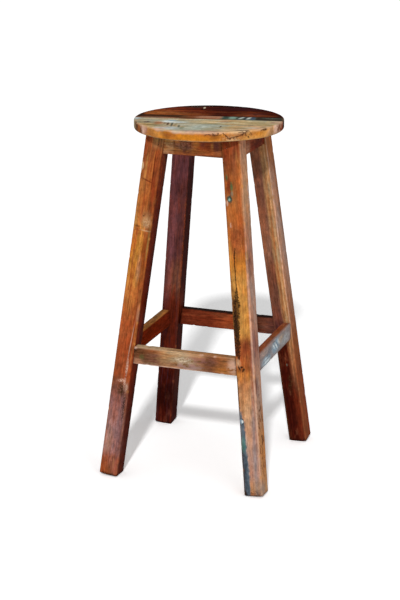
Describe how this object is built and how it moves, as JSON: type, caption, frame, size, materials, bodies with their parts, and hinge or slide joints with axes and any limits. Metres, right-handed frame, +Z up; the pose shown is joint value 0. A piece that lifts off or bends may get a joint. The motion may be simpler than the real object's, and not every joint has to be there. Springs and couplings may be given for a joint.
{
  "type": "bar stool",
  "caption": "Backless bar stool: round seat of joined reclaimed boards on splayed square legs, with aprons under the seat and stretchers all round as a footrest.",
  "frame": {"origin": "on the floor, under the middle of the seat", "axes": "+Z up to the seat, -Y the front seen in the picture, +X to the right"},
  "size_m": [0.3652, 0.3656, 0.75],
  "materials": {
    "orange_wood": "worn orange-brown reclaimed wood under satin lacquer",
    "ochre_wood": "golden reclaimed wood with burnt and painted remnants, satin lacquer",
    "plum_wood": "dark plum-brown reclaimed wood, satin lacquer",
    "tan_wood": "tan and brown streaked reclaimed wood, satin lacquer",
    "weathered_wood": "weathered tan wood with grey-white paint remnants, satin lacquer",
    "red_wood": "red-brown reclaimed wood, satin lacquer",
    "dark_red_wood": "very dark red-brown reclaimed wood, satin lacquer",
    "blue_paint_wood": "wood with worn pale grey-blue paint, satin lacquer",
    "cream_paint_wood": "wood with worn cream paint, satin lacquer",
    "teal_paint_wood": "wood with worn teal, green and white paint, satin lacquer",
    "beech": "plain beech dowel",
    "steel": "plain steel"
  },
  "bodies": {
    "root": {"leg_front_left": "orange_wood", "leg_front_right": "ochre_wood", "leg_back_left": "plum_wood", "leg_back_right": "tan_wood", "apron_front": "plum_wood", "apron_back": "red_wood", "apron_left": "dark_red_wood", "apron_right": "red_wood", "stretcher_front": "weathered_wood", "stretcher_back": "red_wood", "stretcher_left": "dark_red_wood", "stretcher_right": "blue_paint_wood", "seat_board_front": "cream_paint_wood", "seat_board_mid_front": "cream_paint_wood", "seat_board_middle": "teal_paint_wood", "seat_board_mid_back": "red_wood", "seat_board_back": "dark_red_wood", "seat_dowels": "beech", "seat_screws": "steel", "apron_brads": "steel", "stretcher_brads": "steel"}
  },
  "joints": []
}
